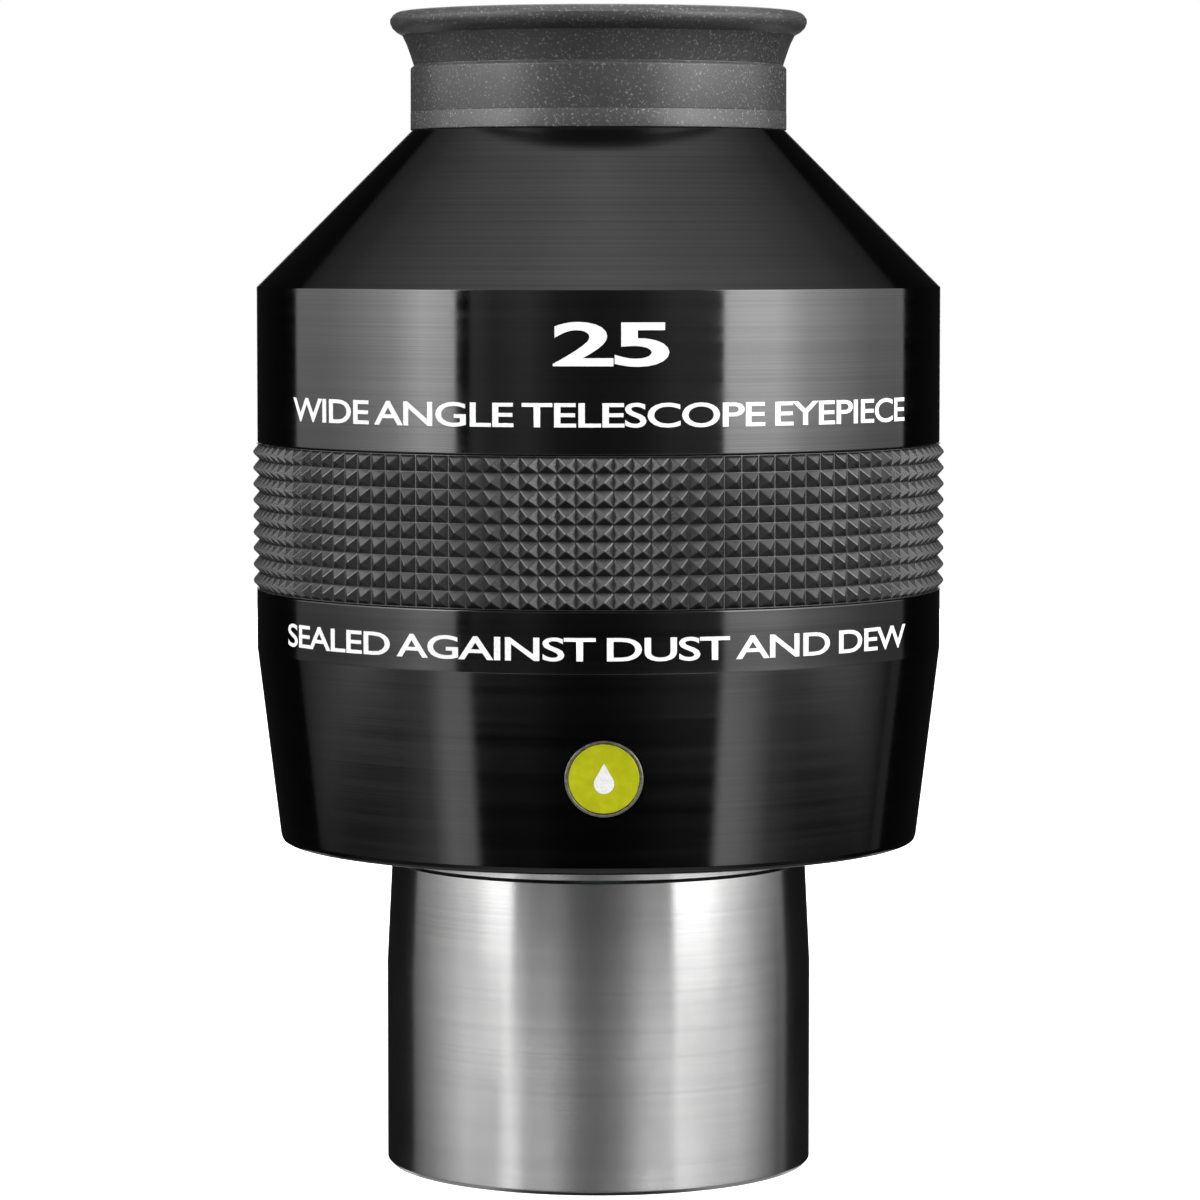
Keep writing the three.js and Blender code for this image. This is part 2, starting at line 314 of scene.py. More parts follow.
def grip_rubber():
    """Mottled black rubber, with painted light on the studs' upward faces and painted shade on the
    downward ones.
    """
    look = Shader("grip_rubber", Specular_IOR_Level=0.7)
    cloud = look.noise(look.position(), scale=260.0, detail=3.0)
    grain = look.noise(look.position(), scale=5000.0)
    normal = look.node("NewGeometry").outputs["True Normal"]
    upward = look.node("SeparateXYZ", {0: normal}).outputs["Z"]
    # colour of faces that point up: random mottle, lightened as painted light from above
    mottled_painted_light = look.tint(cloud, grey(0.029), grey(0.043))
    # painted light and shade: a face is lighter the more it points up, and faces that point down
    # get the near-black painted shade
    painted_light_share = look.between(upward, 0.0, 1.0, start=-0.5, end=0.55)
    look.set("Base Color", look.mix(painted_light_share, (*grey(0.006), 1.0), mottled_painted_light))
    look.set("Roughness", look.between(grain, 0.16, 0.25))
    look.set("Normal", look.bump(grain, 0.02 * MM, 0.6))
    return look.material


def eyecup_rubber():
    """Matt rubber with pale specks in it."""
    look = Shader("eyecup_rubber", Specular_IOR_Level=0.75)
    cloud = look.noise(look.position(), scale=130.0, detail=4.0)
    grain = look.noise(look.position(), scale=3600.0, detail=3.0)
    matt = look.tint(cloud, grey(0.025), grey(0.036))
    specks = look.between(grain, 0.0, 1.0, start=0.58, end=0.72)
    look.set("Base Color", look.mix(specks, matt, (*grey(0.16), 1.0)))
    look.set("Roughness", look.between(grain, 0.36, 0.46))
    look.set("Normal", look.bump(grain, 0.03 * MM, 0.6))
    return look.material


def seal_rubber():
    look = Shader("seal_rubber")
    grain = look.noise(look.position(), scale=3000.0)
    look.set("Base Color", look.tint(grain, grey(0.012), grey(0.022)))
    look.set("Roughness", look.between(grain, 0.4, 0.6))
    return look.material


def optical_glass():
    """Coated glass with a little dust on it."""
    look = Shader("optical_glass", Transmission_Weight=1.0, IOR=1.52)
    look.surface.inputs["Thin Film Thickness"].default_value = 105.0
    look.surface.inputs["Thin Film IOR"].default_value = 1.38
    dust = look.noise(look.position(), scale=1800.0)
    clear = look.tint(dust, (0.93, 0.98, 0.95), (0.97, 1, 0.98), start=0.2, end=0.8)
    look.set("Base Color", clear)
    look.set("Roughness", look.between(dust, 0.0, 0.04, start=0.7, end=0.8))
    return look.material


MATERIALS = {
    build.__name__: build()
    for build in (
        black_anodised,
        inner_black,
        barrel_steel,
        plug_metal,
        label_plastic,
        white_print,
        grip_rubber,
        eyecup_rubber,
        seal_rubber,
        optical_glass,
    )
}
SLOT_OF = {part["node"]: part["material_slot"] for part in frame["record"]["subparts"]}


# ---------- mesh building ----------
def round_corners(profile):
    """A closed profile of (radius, height, rounding), rounded at its corners."""
    points = []
    count = len(profile)
    for i, (r, z, rounding) in enumerate(profile):
        corner = Vector((r, z))
        before = Vector(profile[i - 1][:2]) - corner
        after = Vector(profile[(i + 1) % count][:2]) - corner
        if rounding == 0:
            points.append(corner)
            continue
        bend = before.angle(after)
        reach = rounding / math.tan(bend / 2)
        reach = min(reach, before.length * 0.45, after.length * 0.45)
        first = corner + before.normalized() * reach
        last = corner + after.normalized() * reach
        support = min(SUPPORT, before.length * 0.04, after.length * 0.04)
        points.append(first + before.normalized() * support)
        for step in range(5):
            t = step / 4
            points.append(first.lerp(corner, t).lerp(corner.lerp(last, t), t))
        points.append(last + after.normalized() * support)
    return points


def lathe(name, profile, sectors=SECTORS):
    """A closed profile turned round Z, as a mesh whose outside is on the profile's right."""
    points = round_corners(profile)
    verts = []
    for sector in range(sectors):
        angle = 2 * math.pi * sector / sectors
        for point in points:
            verts.append((point.x * math.sin(angle), -point.x * math.cos(angle), point.y))
    faces = []
    count = len(points)
    for sector in range(sectors):
        here = sector * count
        there = (sector + 1) % sectors * count
        for i in range(count):
            j = (i + 1) % count
            faces.append((here + i, there + i, there + j, here + j))
    return finished_mesh(name, verts, faces)


def finished_mesh(name, verts, faces):
    mesh = bpy.data.meshes.new(name)
    mesh.from_pydata(verts, [], faces)
    bm = bmesh.new()
    bm.from_mesh(mesh)
    bmesh.ops.remove_doubles(bm, verts=bm.verts, dist=1e-7)
    bmesh.ops.recalc_face_normals(bm, faces=bm.faces)
    bm.to_mesh(mesh)
    bm.free()
    shade(mesh)
    return mesh


def shade(mesh):
    """Smooth faces, with the edges beyond SHARP_ANGLE kept sharp."""
    for polygon in mesh.polygons:
        polygon.use_smooth = True
    mesh.set_sharp_from_angle(angle=math.radians(SHARP_ANGLE))


def piece(name, mesh, slot, *nodes, body=BODY):
    """Shows a mesh, in place of any CAD nodes named, riding on body unless that is None."""
    made = bpy.data.objects.new(name, mesh)
    bpy.context.scene.collection.objects.link(made)
    mesh.materials.append(MATERIALS[slot])
    if body:
        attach(made, body)
    if nodes:
        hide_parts(*nodes)
    return made


BOXES = {node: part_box(node) for node in frame["nodes"]}


def bottom_of(node):
    return BOXES[node][0][2]


def top_of(node):
    return BOXES[node][1][2]


def radius_of(node):
    return BOXES[node][1][0]


# ---------- barrel ----------
def filter_thread():
    """Ridges of the filter thread, from deep in the barrel down to its mouth."""
    rows = []
    turns = int(FILTER_THREAD_DEPTH / FILTER_THREAD_PITCH) - 1
    for turn in range(turns, 0, -1):
        valley = (turn + 0.5) * FILTER_THREAD_PITCH
        rows.append((FILTER_THREAD_RADIUS, valley, 0))
        rows.append((FILTER_THREAD_RADIUS - 0.4 * MM, valley - FILTER_THREAD_PITCH / 2, 0))
    return rows


def build_barrel():
    outer = radius_of("barrel")
    top = top_of("barrel")
    lip = top_of("field_cell") + 0.3 * MM
    profile = [
        (BARREL_MOUTH_RADIUS, 0, 0.1 * MM),
        (outer - BARREL_BEVEL, 0, 0.12 * MM),
        (outer, BARREL_BEVEL, 0.2 * MM),
        (outer, BARREL_TAPER[0], 0),
        (BARREL_TAPER_RADIUS, BARREL_TAPER[1], 0.08 * MM),
        (BARREL_COLLAR_RADIUS, BARREL_TAPER[1] + 0.35 * MM, 0.05 * MM),
        (BARREL_COLLAR_RADIUS, top, 0.1 * MM),
        (BARREL_BORE, top, 0.1 * MM),
        (BARREL_BORE, lip + 1.9 * MM, 0),
        (BARREL_SHELF_RADIUS, lip + 1.1 * MM, 0.1 * MM),
        (BARREL_SHELF_RADIUS, lip, 0.1 * MM),
        (BARREL_BORE, lip, 0),
        (BARREL_BORE, FILTER_THREAD_DEPTH, 0),
        (FILTER_THREAD_RADIUS, FILTER_THREAD_DEPTH, 0),
        *filter_thread(),
        (FILTER_THREAD_RADIUS, 0.5 * MM, 0),
    ]
    piece("barrel_tube", lathe("barrel_tube", profile), "barrel_steel", "barrel")


# ---------- housings ----------
def taper_radius(height):
    """Radius of the lower housing's tapered wall."""
    bottom = bottom_of("lower_housing")
    share = (height - bottom) / (BODY_TAPER_TOP - bottom)
    return BODY_BOTTOM_RADIUS + share * (BODY_RADIUS - BODY_BOTTOM_RADIUS)


def taper_tilt():
    rise = BODY_TAPER_TOP - bottom_of("lower_housing")
    return math.atan((BODY_RADIUS - BODY_BOTTOM_RADIUS) / rise)


def port_frame():
    """Places a piece turned on Z so that it points squarely out of the wall at the purge port."""
    low, high = BOXES["purge_label"]
    azimuth = math.atan2(low[0] + high[0], -(low[1] + high[1]))
    return (
        Matrix.Rotation(azimuth, 4, "Z")
        @ Matrix.Translation((0, -taper_radius(PORT_HEIGHT), PORT_HEIGHT))
        @ Matrix.Rotation(math.pi / 2 + taper_tilt(), 4, "X")
    )


def cut(mesh, cutter_mesh):
    """mesh less the solid cutter_mesh."""
    target = bpy.data.objects.new("target", mesh)
    cutter = bpy.data.objects.new("cutter", cutter_mesh)
    for made in (target, cutter):
        bpy.context.scene.collection.objects.link(made)
    step = target.modifiers.new("cut", "BOOLEAN")
    step.object = cutter
    step.solver = "EXACT"
    bpy.context.view_layer.update()
    graph = bpy.context.evaluated_depsgraph_get()
    result = bpy.data.meshes.new_from_object(target.evaluated_get(graph))
    for made in (target, cutter):
        bpy.data.objects.remove(made)
    return result


def smooth_wall(mesh):
    """Gives the tapered wall round the port the normals of a true cone."""
    tilt = taper_tilt()
    normals = [(0.0, 0.0, 0.0)] * len(mesh.loops)
    for polygon in mesh.polygons:
        middle = polygon.center
        radial = Vector((middle.x, middle.y, 0)).normalized()
        cone = radial * math.cos(tilt) - Vector((0, 0, math.sin(tilt)))
        if polygon.normal.dot(cone) < math.cos(math.radians(2.5)):
            continue
        if math.hypot(middle.x, middle.y) < taper_radius(middle.z) - 0.3 * MM:
            continue
        for loop in polygon.loop_indices:
            at = mesh.vertices[mesh.loops[loop].vertex_index].co
            out = Vector((at.x, at.y, 0)).normalized()
            normals[loop] = tuple(out * math.cos(tilt) - Vector((0, 0, math.sin(tilt))))
    mesh.normals_split_custom_set(normals)


def build_lower_housing():
    bottom = bottom_of("lower_housing")
    top = top_of("lower_housing")
    grip_bottom = bottom_of("grip_ring") - GRIP_GAP
    seat = BARREL_COLLAR_RADIUS + 0.3 * MM
    wall = []
    for ring in range(PORT_RINGS):
        height = PORT_HEIGHT + (ring - (PORT_RINGS - 1) / 2) * MM
        wall.append((taper_radius(height), height, 0))
    profile = [
        (seat, bottom + 1.3 * MM, 0),
        (seat + 1.3 * MM, bottom, 0.15 * MM),
        (BODY_BOTTOM_RADIUS - 0.1 * MM, bottom, 0.55 * MM),
        (taper_radius(bottom + 0.8 * MM), bottom + 0.8 * MM, 0.5 * MM),
        *wall,
        (BODY_RADIUS, BODY_TAPER_TOP, 0.6 * MM),
        (BODY_RADIUS, grip_bottom, 0.15 * MM),
        (GRIP_SEAT_RADIUS, grip_bottom, 0.1 * MM),
        (GRIP_SEAT_RADIUS, HOUSING_JOINT, 0),
        (LOWER_SPIGOT_RADIUS, HOUSING_JOINT, 0),
        (LOWER_SPIGOT_RADIUS, top, 0),
        (LOWER_BORE_RADIUS, top, 0),
        (LOWER_BORE_RADIUS, LOWER_BORE_FOOT, 0),
        (LOWER_FLOOR_RADIUS, LOWER_FLOOR, 0),
        (seat, LOWER_FLOOR, 0),
    ]
    shell = lathe("lower_shell", profile)
    drill = port_drill()
    drill.transform(port_frame())
    shell = cut(shell, drill)
    shell.name = "lower_shell"
    shell.materials.clear()
    shade(shell)
    smooth_wall(shell)
    piece("lower_shell", shell, "black_anodised", "lower_housing")


def port_drill():
    """A solid cylinder with no hole in it, so that cutting with it leaves no pin in the port."""
    above_wall = 1.5 * MM
    bm = bmesh.new()
    bmesh.ops.create_cone(
        bm,
        cap_ends=True,
        segments=96,
        radius1=PORT_BORE,
        radius2=PORT_BORE,
        depth=PORT_DEPTH + above_wall,
        matrix=Matrix.Translation((0, 0, (above_wall - PORT_DEPTH) / 2)),
    )
    mesh = bpy.data.meshes.new("drill")
    bm.to_mesh(mesh)
    bm.free()
    return mesh


def build_upper_housing():
    outer = radius_of("upper_housing")
    bottom = bottom_of("upper_housing")
    top = top_of("upper_housing")
    grip_top = top_of("grip_ring") + GRIP_GAP
    profile = [
        (UPPER_SOCKET_RADIUS, bottom, 0),
        (GRIP_SEAT_RADIUS, bottom, 0),
        (GRIP_SEAT_RADIUS, grip_top, 0.1 * MM),
        (outer, grip_top, 0.15 * MM),
        (outer, SHOULDER, 0.12 * MM),
        (CONE_TOP_RADIUS, CONE_TOP, 0.2 * MM),
        (NECK_RADIUS, CONE_TOP, 0),
        (NECK_RADIUS, top, 0.2 * MM),
        (NECK_BORE, top, 0.2 * MM),
        (NECK_BORE, EYE_SEAT[1], 0),
        (EYE_SEAT_RADIUS, EYE_SEAT[1], 0.1 * MM),
        (EYE_SEAT_RADIUS, EYE_SEAT[0], 0.1 * MM),
        (EYE_SEAT_BACK_RADIUS, EYE_SEAT[0], 0),
        (UPPER_BORE_RADIUS, UPPER_BORE_TOP, 0),
        (UPPER_BORE_RADIUS, UPPER_SOCKET_END, 0),
        (UPPER_SOCKET_RADIUS, UPPER_SOCKET_END, 0),
    ]
    piece("upper_shell", lathe("upper_shell", profile), "black_anodised", "upper_housing")


# ---------- grip ----------
def stud(width, height):
    """One stud with its strip of land, flat on the XY plane with its point towards +Z."""
    bm = bmesh.new()
    half = Vector((width / 2, height / 2))
    foot = half - Vector((STUD_LAND, STUD_LAND))
    signs = ((-1, -1), (1, -1), (1, 1), (-1, 1))
    outer = [bm.verts.new((half.x * sx, half.y * sy, 0)) for sx, sy in signs]
    inner = [bm.verts.new((foot.x * sx, foot.y * sy, 0)) for sx, sy in signs]
    point = bm.verts.new((0, -STUD_DROOP, STUD_HEIGHT))
    for i in range(4):
        j = (i + 1) % 4
        bm.faces.new((outer[i], outer[j], inner[j], inner[i]))
        bm.faces.new((inner[i], inner[j], point))
    ridges = [edge for edge in bm.edges if point in edge.verts]
    bmesh.ops.bevel(bm, geom=ridges, offset=STUD_BLUNTING, segments=1, affect="EDGES")
    verts = [vert.co.copy() for vert in bm.verts]
    bm.verts.index_update()
    faces = [tuple(vert.index for vert in face.verts) for face in bm.faces]
    bm.free()
    return verts, faces


def stud_field(low, row_height):
    """All the studs as one mesh, each with its point strayed a very little at random."""
    turn = 2 * math.pi / STUD_COLUMNS
    one_verts, one_faces = stud(turn * STUD_BASE, row_height)
    chance = random.Random(4)
    verts = []
    faces = []
    for column in range(STUD_COLUMNS):
        for row in range(STUD_ROWS):
            start = len(verts)
            middle = low + (row + 0.5) * row_height
            lean = (chance.uniform(-1, 1) * STUD_LEAN, chance.uniform(-1, 1) * STUD_LEAN)
            for at in one_verts:
                share = at.z / STUD_HEIGHT
                angle = (column + STUD_PHASE) * turn + (at.x + lean[0] * share) / STUD_BASE
                radius = STUD_BASE + at.z
                height = middle + at.y + lean[1] * share
                verts.append((radius * math.sin(angle), -radius * math.cos(angle), height))
            faces.extend(tuple(start + i for i in face) for face in one_faces)
    studs = bpy.data.meshes.new("studs")
    studs.from_pydata(verts, [], faces)
    return studs


def grip_ring(low, high):
    """The plain ring under the studs, with a thin rim at each end."""
    under_studs = STUD_BASE - 0.02 * MM
    profile = [
        (GRIP_BORE, low, 0),
        (BODY_RADIUS, low, 0.02 * MM),
        (BODY_RADIUS, low + GRIP_RIM, 0),
        (under_studs, low + GRIP_RIM, 0),
        (under_studs, high - GRIP_RIM, 0),
        (BODY_RADIUS, high - GRIP_RIM, 0),
        (BODY_RADIUS, high, 0.02 * MM),
        (GRIP_BORE, high, 0),
    ]
    return lathe("sleeve", profile)


def build_grip():
    low = bottom_of("grip_ring")
    high = top_of("grip_ring")
    row_height = (high - low - 2 * GRIP_RIM) / STUD_ROWS
    bm = bmesh.new()
    bm.from_mesh(grip_ring(low, high))
    bm.from_mesh(stud_field(low + GRIP_RIM, row_height))
    bmesh.ops.remove_doubles(bm, verts=bm.verts, dist=1e-6)
    grip = bpy.data.meshes.new("grip_sleeve")
    bm.to_mesh(grip)
    bm.free()
    grip.set_sharp_from_angle(angle=math.radians(STUD_SHARP_ANGLE))
    piece("grip_sleeve", grip, "grip_rubber", "grip_ring")


# ---------- eyecup ----------
def in_mm(*rows):
    return [tuple(value * MM for value in row) for row in rows]


def build_eyecup():
    """Band, flare and rolled lip in one piece of rubber, with the crease where the real cup folds
    down.
    """
    outer = radius_of("eyecup_band")
    foot = min(bottom_of("eyecup_band"), CONE_TOP + 0.03 * MM)
    band = [
        (EYECUP_BORE, foot, 0.1 * MM),
        (outer, foot, 0.12 * MM),
        (outer, MOULD_LINE, 0),
        (outer - 0.05 * MM, MOULD_LINE + 0.08 * MM, 0),
        (outer - 0.02 * MM, MOULD_LINE + 0.2 * MM, 0),
        (outer - 0.02 * MM, CREASE - 0.25 * MM, 0.4 * MM),
        (outer - 0.42 * MM, CREASE + 0.05 * MM, 0.1 * MM),
    ]
    flare_outside = in_mm((22.35, 132.3, 0), (22.78, 133.5, 0), (23.3, 134.6, 0.1))
    lip = in_mm(
        (23.95, 134.95, 0),
        (24.48, 135.45, 0),
        (24.75, 136.05, 0),
        (24.74, 136.5, 0.05),
        (24.45, 136.95, 0),
        (24.1, 137.22, 0.05),
        (23.75, 137.36, 0),
        (23.3, 137.3, 0),
        (22.95, 137.0, 0),
        (22.75, 136.4, 0),
        (22.68, 135.6, 0),
    )
    flare_inside = in_mm((22.3, 134.5, 0), (21.6, 132.6, 0), (21.35, 131.6, 0))
    profile = [*band, *flare_outside, *lip, *flare_inside, (EYECUP_BORE, CREASE, 0.1 * MM)]
    cup = piece("eyecup_rubber", lathe("eyecup_rubber", profile), "eyecup_rubber", body=None)
    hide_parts("eyecup_band", "eyecup_flare", "eyecup_lip")
    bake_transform(cup)


# ---------- optics ----------
def lens_rows(radius, rim, sag, steps=24):
    """A lens surface from the axis to the rim; a positive sag has the middle above the rim."""
    if sag == 0:
        return [(PINHOLE, rim, 0), (radius, rim, 0)]
    curve = (radius**2 + sag**2) / (2 * abs(sag))
    rows = []
    for step in range(steps + 1):
        r = max(radius * step / steps, PINHOLE)
        drop = curve - math.sqrt(curve**2 - r**2)
        rows.append((r, rim + sag - math.copysign(drop, sag), 0))
    return rows


def build_lens(node, under_sag, over_sag):
    """A smooth lens; each sag is how far that surface's middle stands above its rim."""
    radius = radius_of(node)
    under = lens_rows(radius, bottom_of(node) - min(under_sag, 0), under_sag)
    over = lens_rows(radius, top_of(node) - max(over_sag, 0), over_sag)
    mesh = lathe(node + "_glass", under + over[::-1], SMALL_SECTORS)
    piece(node + "_glass", mesh, "optical_glass", node)


def build_optics():
    build_lens("eye_lens", -1.7 * MM, 0.9 * MM)
    build_lens("doublet_crown_lens", -5.4 * MM, 5.7 * MM)
    build_lens("doublet_flint_lens", 0, -5.4 * MM)
    build_lens("singlet_lens", 0, 7.0 * MM)
    build_lens("field_lens_upper", -2.0 * MM, 1.3 * MM)
    build_lens("field_lens_lower", 3.0 * MM, -2.0 * MM)


def build_eye_retainer():
    """The screw-in ring over the eye lens, with a pair of slots for a spanner."""
    low = bottom_of("eye_lens_retainer")
    high = top_of("eye_lens_retainer")
    outer = radius_of("eye_lens_retainer")
    profile = [
        (17.3 * MM, low, 0),
        (outer, low, 0),
        (outer, high, 0.1 * MM),
        (18.2 * MM, high, 0.1 * MM),
        (17.3 * MM, low + 0.2 * MM, 0),
    ]
    ring = lathe("eye_retainer", profile, 256)
    for vertex in ring.vertices:
        if abs(vertex.co.y) < 0.8 * MM and vertex.co.z > high - 0.3 * MM:
            vertex.co.z -= 0.8 * MM
    piece("eye_retainer", ring, "inner_black", "eye_lens_retainer")


# ---------- purge port ----------
def port_piece(name, profile, slot, node):
    """A turned piece that sits in the purge port, facing outwards."""
    mesh = lathe(name, profile, SMALL_SECTORS)
    mesh.transform(port_frame())
    piece(name, mesh, slot, node)


def build_plug():
    stem_end = -5.0 * MM
    stem_pinhole = 0.05 * MM
    rim = -PLUG_SUNK
    profile = [
        (stem_pinhole, stem_end, 0),
        (PLUG_STEM_RADIUS, stem_end, 0.2 * MM),
        (PLUG_STEM_RADIUS, rim - 1.3 * MM, 0),
        (PLUG_RADIUS, rim - 1.3 * MM, 0.1 * MM),
        (PLUG_RADIUS, rim, 0.12 * MM),
        (PLUG_DISH_RADIUS, rim, 0.05 * MM),
        (PLUG_DISH_RADIUS, rim - 0.5 * MM, 0),
        (stem_pinhole, rim - 0.5 * MM, 0),
    ]
    port_piece("plug", profile, "plug_metal", "purge_plug")


def build_label():
    face = -LABEL_SUNK
    back = face - 0.18 * MM
    profile = [
        (PINHOLE, back, 0),
        (LABEL_RADIUS, back, 0),
        (LABEL_RADIUS, face, 0.06 * MM),
        (PINHOLE, face, 0),
    ]
    port_piece("label_disc", profile, "label_plastic", "purge_label")


def build_droplet():
    """A plain drop symbol printed on the label: an arc, and its two tangents from the tip."""
    bulb = 1.15 * MM
    tip = 2.35 * MM  # above the bulb's middle
    shift = 0.55 * MM  # of the bulb's middle, below the label's
    height = 0.01 * MM - LABEL_SUNK
    touch = math.asin(bulb / tip)
    start = -math.pi - touch
    steps = 40
    outline = []
    for step in range(steps):
        angle = start + (touch - start) * step / (steps - 1)
        outline.append((bulb * math.cos(angle), bulb * math.sin(angle) - shift, height))
    outline.append((0, tip - shift, height))
    mesh = bpy.data.meshes.new("drop_symbol")
    mesh.from_pydata(outline, [], [tuple(range(len(outline)))])
    mesh.transform(port_frame())
    piece("drop_symbol", mesh, "white_print")


# ---------- printed characters ----------
def flat_text(words, weight):
    """The words as a flat mesh in the XY plane, with the built-in font."""
    curve = bpy.data.curves.new("words", "FONT")
    curve.body = words
    curve.size = 1.0
    curve.offset = weight
    curve.space_character = 0.93
    curve.space_word = 0.75
    curve.resolution_u = 5
    made = bpy.data.objects.new("words", curve)
    bpy.context.scene.collection.objects.link(made)
    bpy.context.view_layer.update()
    graph = bpy.context.evaluated_depsgraph_get()
    mesh = bpy.data.meshes.new_from_object(made.evaluated_get(graph))
    bpy.data.objects.remove(made)
    return mesh


def print_round(name, words, radius, heights, first, last, weight=0.012):
    """Prints words on a cylinder, between two heights and between two angles in degrees.

    The letters are cut into strips about 1 mm wide, so that they can bend round it.
    """
    mesh = flat_text(words, weight)
    bm = bmesh.new()
    bm.from_mesh(mesh)
    xs = [vert.co.x for vert in bm.verts]
    ys = [vert.co.y for vert in bm.verts]
    left, right = min(xs), max(xs)
    base, head = min(ys), max(ys)
    width = math.radians(last - first) * radius
    strips = int(width / MM)
    bmesh.ops.triangulate(bm, faces=bm.faces)
    for strip in range(1, strips):
        bmesh.ops.bisect_plane(
            bm,
            geom=bm.verts[:] + bm.edges[:] + bm.faces[:],
            plane_co=(left + (right - left) * strip / strips, 0, 0),
            plane_no=(1, 0, 0),
            dist=1e-6,
        )
    out = radius + PRINT_THICKNESS
    for vert in bm.verts:
        angle = math.radians(first) + (vert.co.x - left) / (right - left) * width / radius
        height = heights[0] + (vert.co.y - base) / (head - base) * (heights[1] - heights[0])
        vert.co = Vector((out * math.sin(angle), -out * math.cos(angle), height))
    bm.to_mesh(mesh)
    bm.free()
    mesh.materials.clear()
    piece(name, mesh, "white_print")


def build_print():
    upper = radius_of("upper_housing")
    upper_words = "WIDE ANGLE TELESCOPE EYEPIECE"
    lower_words = "SEALED AGAINST DUST AND DEW"
    print_round("focal_length", "25", upper, NUMERAL_HEIGHT, -7.2, 11.2, weight=0.02)
    print_round("upper_words", upper_words, upper, UPPER_LINE_HEIGHT, -59.9, 60.2)
    print_round("lower_words", lower_words, BODY_RADIUS, LOWER_LINE_HEIGHT, -61.9, 60.6)


# ---------- CAD nodes that stay ----------
def dress_cad_nodes():
    for node, item in frame["nodes"].items():
        item.data.materials.clear()
        item.data.materials.append(MATERIALS[SLOT_OF[node]])


# ---------- stage, light and camera ----------
def grey_ramp(tree, value, stops, start, end, peak):
    """Brightness by (place, brightness) stops, for a value of 0 at start and 1 at end."""
    ramp = tree.nodes.new("ShaderNodeValToRGB")
    tree.links.new(value, ramp.inputs[0])
    elements = ramp.color_ramp.elements
    while len(elements) < len(stops):
        elements.new(0.5)
    for element, (place, brightness) in zip(elements, stops):
        element.position = (place - start) / (end - start)
        element.color = (*grey(brightness / peak), 1)
    return ramp.outputs["Color"]


def glow_material(name, across, along):
    """Light whose brightness is the product of two ramps, over a panel's width and its height.

    across and along are ((start, end), [(place, brightness), ...]). Those along are shares of 1.
    """
    made = bpy.data.materials.new(name)
    made.use_nodes = True
    tree = made.node_tree
    tree.nodes.clear()
    out = tree.nodes.new("ShaderNodeOutputMaterial")
    glow = tree.nodes.new("ShaderNodeEmission")
    place = tree.nodes.new("ShaderNodeUVMap")
    split = tree.nodes.new("ShaderNodeSeparateXYZ")
    product = tree.nodes.new("ShaderNodeVectorMath")
    product.operation = "MULTIPLY"
    peak = max(brightness for _, brightness in across[1])
    tree.links.new(place.outputs[0], split.inputs[0])
    sideways = grey_ramp(tree, split.outputs["X"], across[1], *across[0], peak)
    upward = grey_ramp(tree, split.outputs["Y"], along[1], *along[0], 1.0)
    tree.links.new(sideways, product.inputs[0])
    tree.links.new(upward, product.inputs[1])
    tree.links.new(product.outputs[0], glow.inputs["Color"])
    tree.links.new(glow.outputs[0], out.inputs[0])
    glow.inputs["Strength"].default_value = peak
    return made


def stage_mesh(name, verts, faces, material, uvs=None):
    mesh = bpy.data.meshes.new(name)
    mesh.from_pydata(verts, [], faces)
    if uvs:
        layer = mesh.uv_layers.new()
        for loop in mesh.loops:
            layer.data[loop.index].uv = uvs[loop.vertex_index]
    mesh.materials.append(material)
    made = bpy.data.objects.new(name, mesh)
    bpy.context.scene.collection.objects.link(made)
    return made


def light_only(made):
    made.visible_camera = False
    made.visible_shadow = False
    return made


def panel(name, across, along, distance=1.0):
    """A curved softbox standing round the object. A nearer one hides a farther one behind it.

    across is [(degrees from the front, brightness), ...] and along is [(height, share), ...].
    """
    start, end = across[0][0], across[-1][0]
    low, high = along[0][0], along[-1][0]
    steps = 32
    verts = []
    uvs = []
    for step in range(steps + 1):
        share = step / steps
        angle = math.radians(start + (end - start) * share)
        for height in (low, high):
            verts.append((distance * math.sin(angle), -distance * math.cos(angle), height))
            uvs.append((share, 0.0 if height == low else 1.0))
    faces = [(2 * i, 2 * i + 2, 2 * i + 3, 2 * i + 1) for i in range(steps)]
    glow = glow_material(name, ((start, end), across), ((low, high), along))
    return light_only(stage_mesh(name, verts, faces, glow, uvs))


def disc_light(name, height, brightness):
    """A flat round light on the axis; brightness is [(distance from the axis, brightness), ...]."""
    steps = 64
    outer = brightness[-1][0]
    verts = [(0.0, 0.0, height)]
    uvs = [(0.0, 0.5)]
    for step in range(steps):
        angle = 2 * math.pi * step / steps
        verts.append((outer * math.cos(angle), outer * math.sin(angle), height))
        uvs.append((1.0, 0.5))
    faces = [(0, 1 + i, 1 + (i + 1) % steps) for i in range(steps)]
    even = ((0.0, 1.0), [(0.0, 1.0), (1.0, 1.0)])
    glow = glow_material(name, ((0.0, outer), brightness), even)
    return light_only(stage_mesh(name, verts, faces, glow, uvs))


# Share of a softbox's brightness at each height: dim low down, and full from the height that the
# upper body mirrors.
PANEL_HEIGHTS = [
    (-0.5, 0.03),
    (-0.32, 0.08),
    (-0.2, 0.12),
    (-0.03, 0.17),
    (0.018, 0.36),
    (0.063, 0.85),
    (0.1, 1.0),
    (1.15, 1.0),
]
LEFT_SOFTBOX = [
    (-119, 1.1),
    (-115, 1.15),
    (-98, 1.5),
    (-84, 2.1),
    (-71, 2.9),
    (-59, 4.8),
    (-52, 4.4),
    (-47, 4.2),
]
RIGHT_SOFTBOX = [
    (41, 5.0),
    (49, 5.4),
    (60, 5.4),
    (72, 3.35),
    (85, 2.4),
    (100, 1.45),
    (116, 1.0),
    (121, 1.0),
]
FRONT_GLOW = [
    (-42, 0.39),
    (-34, 0.23),
    (-23, 0.33),
    (-13, 0.14),
    (0, 0.1),
    (14, 0.14),
    (24, 0.3),
    (41, 0.33),
]

